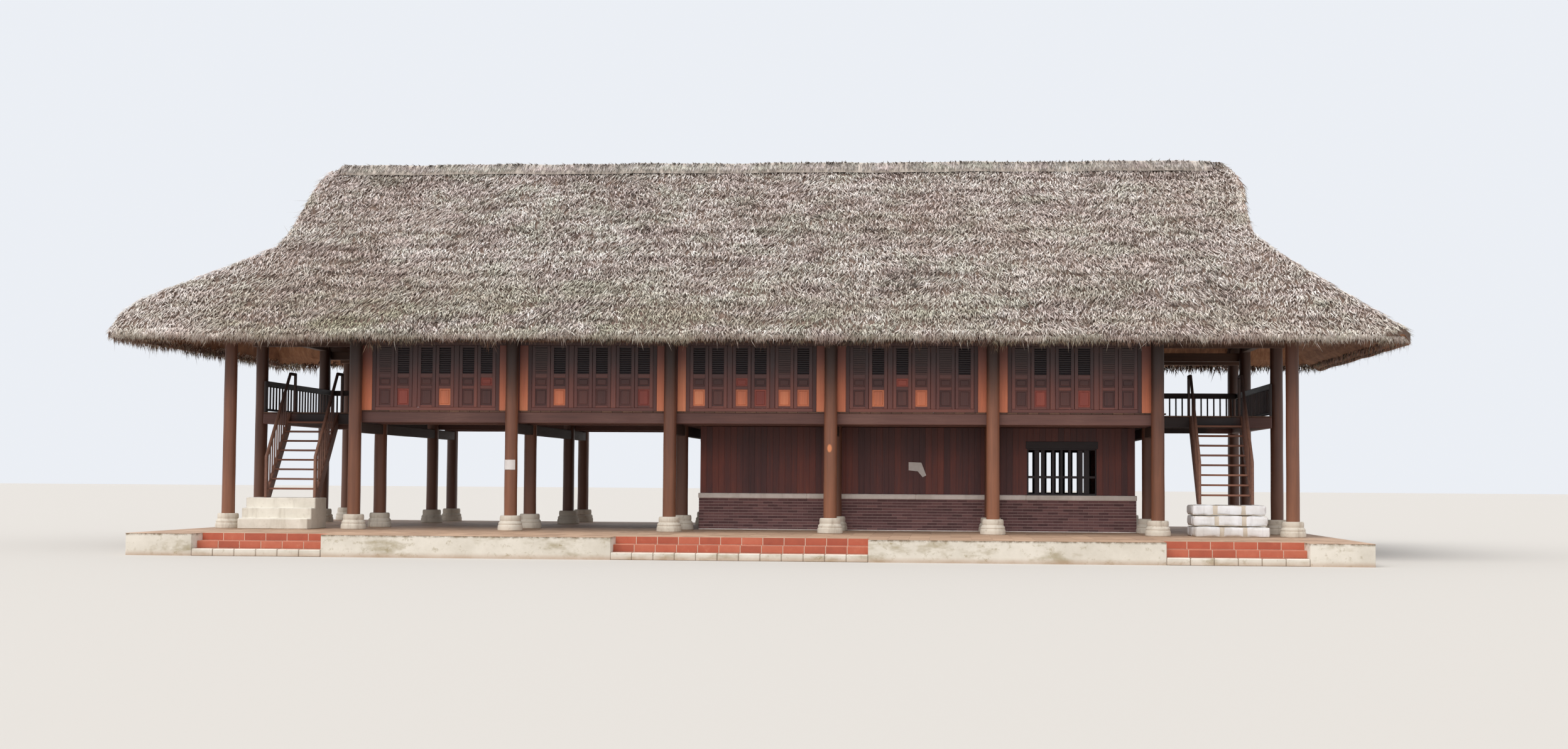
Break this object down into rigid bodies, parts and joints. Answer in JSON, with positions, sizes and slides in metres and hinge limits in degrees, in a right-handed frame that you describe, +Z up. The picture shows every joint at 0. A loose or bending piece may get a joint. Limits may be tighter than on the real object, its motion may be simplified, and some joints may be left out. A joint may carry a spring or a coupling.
{
  "type": "thatched stilt house",
  "caption": "Long timber house on round posts with a thatched hip and gable roof, shuttered upper hall, end galleries with stairs, and a small brick and board room below.",
  "frame": {"origin": "on the ground, in the middle of the house's length and of its depth from the plinth's front edge to the rear eave", "axes": "+X along the house to the right as seen from the front, +Y to the rear, +Z up"},
  "size_m": [27.1, 14.08, 8.9576],
  "materials": {
    "plinth_masonry": "matt",
    "step_tile": "matt",
    "post_wood": "worn satin",
    "beam_wood": "matt",
    "floor_wood": "matt",
    "wall_wood": "satin",
    "shutter_wood": "satin",
    "dado_brick": "painted, matt",
    "board_wood": "painted, matt",
    "thatch": "dry palm leaf, matt",
    "ridge_thatch": "dry palm leaf, matt",
    "stair_wood": "worn satin",
    "white_stone": "limewashed, matt",
    "railing_wood": "matt"
  },
  "bodies": {
    "root": {"plinth": "plinth_masonry", "left_steps": "step_tile", "centre_steps": "step_tile", "right_steps": "step_tile", "post_frame_1": "post_wood", "post_frame_2": "post_wood", "post_frame_3": "post_wood", "post_frame_4": "post_wood", "post_frame_5": "post_wood", "post_frame_6": "post_wood", "post_frame_7": "post_wood", "post_frame_8": "post_wood", "front_floor_beam": "beam_wood", "rear_floor_beam": "beam_wood", "middle_floor_beams": "beam_wood", "front_eave_beam": "beam_wood", "front_inner_beam": "beam_wood", "rear_inner_beam": "beam_wood", "rear_eave_beam": "beam_wood", "upper_floor": "floor_wood", "front_wall": "wall_wood", "front_shutters_bay_1": "shutter_wood", "front_shutters_bay_2": "shutter_wood", "front_shutters_bay_3": "shutter_wood", "front_shutters_bay_4": "shutter_wood", "front_shutters_bay_5": "shutter_wood", "rear_wall": "wall_wood", "left_end_wall_front": "wall_wood", "left_end_wall_rear": "wall_wood", "left_end_wall_over_door": "wall_wood", "right_end_wall_front": "wall_wood", "right_end_wall_rear": "wall_wood", "right_end_wall_over_door": "wall_wood", "room_front_dado": "dado_brick", "room_rear_dado": "dado_brick", "room_right_dado": "dado_brick", "room_left_dado": "dado_brick", "room_front_boards_left": "board_wood", "room_front_boards_right": "board_wood", "room_front_boards_over_window": "board_wood", "room_rear_boards_left": "board_wood", "room_rear_boards_right": "board_wood", "room_rear_boards_over_window": "board_wood", "room_right_boards": "board_wood", "room_left_boards": "board_wood", "room_door_lintel": "board_wood", "front_thatch": "thatch", "rear_thatch": "thatch", "left_hip_thatch": "thatch", "right_hip_thatch": "thatch", "ridge_cap": "ridge_thatch", "left_stair": "stair_wood", "left_stair_foot": "white_stone", "right_stair": "stair_wood", "right_stair_foot": "white_stone", "left_gallery_railing": "railing_wood", "right_gallery_railing": "railing_wood"}
  },
  "joints": []
}
